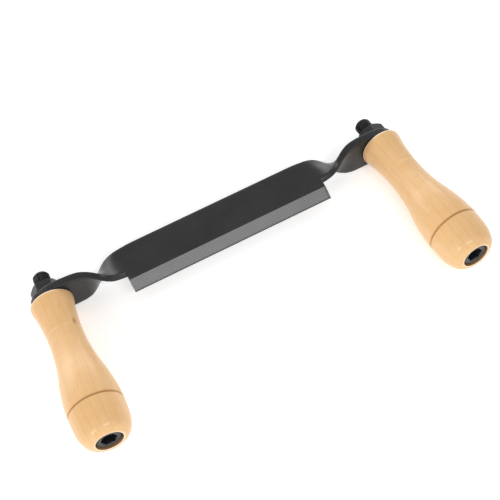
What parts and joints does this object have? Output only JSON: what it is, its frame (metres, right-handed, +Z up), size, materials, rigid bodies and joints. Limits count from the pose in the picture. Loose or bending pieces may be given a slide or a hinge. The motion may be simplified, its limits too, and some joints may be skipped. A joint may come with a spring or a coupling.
{
  "type": "drawknife",
  "caption": "Straight drawknife: a flat forged blade with a ground bevel, necks twisted into upright tabs, and turned wooden handles clamped by through-bolts.",
  "frame": {"origin": "bottom centre of the bounding box, on the bench that the tool lies on", "axes": "+X along the cutting edge from the left handle to the right one, +Y from the edge to the spine, +Z up; the blade's top face tips 2.9 degrees towards the spine because the bulbs are thicker than the tabs are high"},
  "size_m": [0.305, 0.14, 0.0388],
  "materials": {
    "blade_steel": "satin black oxide with a bare ground bevel",
    "turned_wood": "clear-lacquered pale hardwood",
    "fastener_steel": "black oxide"
  },
  "bodies": {
    "root": {"blade": "blade_steel", "left_handle": "turned_wood", "right_handle": "turned_wood", "left_bolt": "fastener_steel", "right_bolt": "fastener_steel", "left_nut": "fastener_steel", "right_nut": "fastener_steel", "left_head_washer": "fastener_steel", "right_head_washer": "fastener_steel"}
  },
  "joints": []
}
